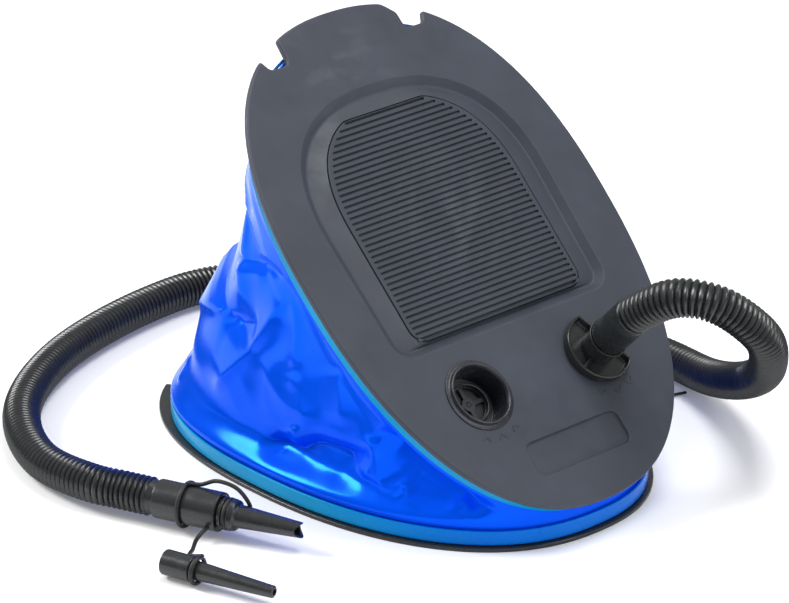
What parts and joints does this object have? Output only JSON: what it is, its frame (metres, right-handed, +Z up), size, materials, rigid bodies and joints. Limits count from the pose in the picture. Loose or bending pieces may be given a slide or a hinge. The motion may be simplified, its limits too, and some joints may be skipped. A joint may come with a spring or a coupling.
{
  "type": "foot air pump",
  "caption": "Wedge-shaped bellows foot pump standing open: ribbed pedal over a blue bellows, ports to blow and to suck, corrugated hose and push-on nozzles.",
  "frame": {"origin": "centre of the base plate's flat underside", "axes": "+X towards the hinged end, +Y towards the side with the inflate port, +Z up; the pedal's far edge lifts at -X"},
  "size_m": [0.388, 0.3566, 0.2158],
  "materials": {
    "charcoal_plastic": "fine moulded grain, satin, lightly scuffed",
    "pad_plastic": "ribbed, matte",
    "teal_plastic": "smooth, semi-gloss",
    "blue_pvc": "glossy soft PVC sheet, creased",
    "black_plastic": "satin",
    "black_rubber": "matte",
    "spring_steel": "bright drawn wire"
  },
  "bodies": {
    "base": {"base_plate": "black_plastic", "base_band": "teal_plastic", "bellows": "blue_pvc", "return_spring": "spring_steel", "base_hinge_bracket": "charcoal_plastic", "hinge_pin": "spring_steel", "base_screw_left": "spring_steel", "base_screw_right": "spring_steel", "hose": "black_plastic", "hose_end_adaptor": "black_plastic", "spare_nozzle": "black_plastic", "tether": "black_rubber", "storage_cord": "black_rubber"},
    "pedal": {"pedal_plate": "charcoal_plastic", "pedal_band": "teal_plastic", "foot_pad": "pad_plastic", "pedal_hinge_bracket": "charcoal_plastic", "pedal_screw_left": "spring_steel", "pedal_screw_right": "spring_steel", "deflate_socket": "charcoal_plastic", "inflate_socket": "charcoal_plastic", "intake_valve_seat": "charcoal_plastic", "intake_flap_stud": "black_plastic", "outlet_valve_seat": "charcoal_plastic", "outlet_flap_stud": "black_plastic"},
    "connector": {"hose_connector": "black_plastic", "connector_o_ring": "black_rubber"},
    "intake_flap": {"intake_flap": "black_rubber"},
    "outlet_flap": {"outlet_flap": "black_rubber"},
    "nozzle": {"nozzle": "black_plastic"}
  },
  "joints": [
    {"name": "pedal_hinge", "type": "hinge", "parent": "base", "child": "pedal", "pos_m": [0.1275, 0, 0.0211], "axis": [0, 1, 0], "range_deg": [-40, 0], "stiffness_Nm_per_rad": 6, "springref_deg": 28.65, "deforming": ["bellows", "return_spring", "hose"]},
    {"name": "connector_turn", "type": "hinge", "parent": "pedal", "child": "connector", "pos_m": [0.09568, 0.0395, 0.07019], "axis": [0.6845, 0, 0.729], "range_deg": [0, 90]},
    {"name": "intake_flap_lift", "type": "slide", "parent": "pedal", "child": "intake_flap", "axis": [-0.6845, 0, -0.729], "range_m": [0, 0.002], "stiffness_N_per_m": 20, "springref_m": -0.0005},
    {"name": "outlet_flap_lift", "type": "slide", "parent": "pedal", "child": "outlet_flap", "axis": [0.6845, 0, 0.729], "range_m": [0, 0.002], "stiffness_N_per_m": 20, "springref_m": -0.0005},
    {"name": "nozzle_pull", "type": "slide", "parent": "base", "child": "nozzle", "axis": [0.9265, 0.3762, 0], "range_m": [0, 0.014]}
  ]
}
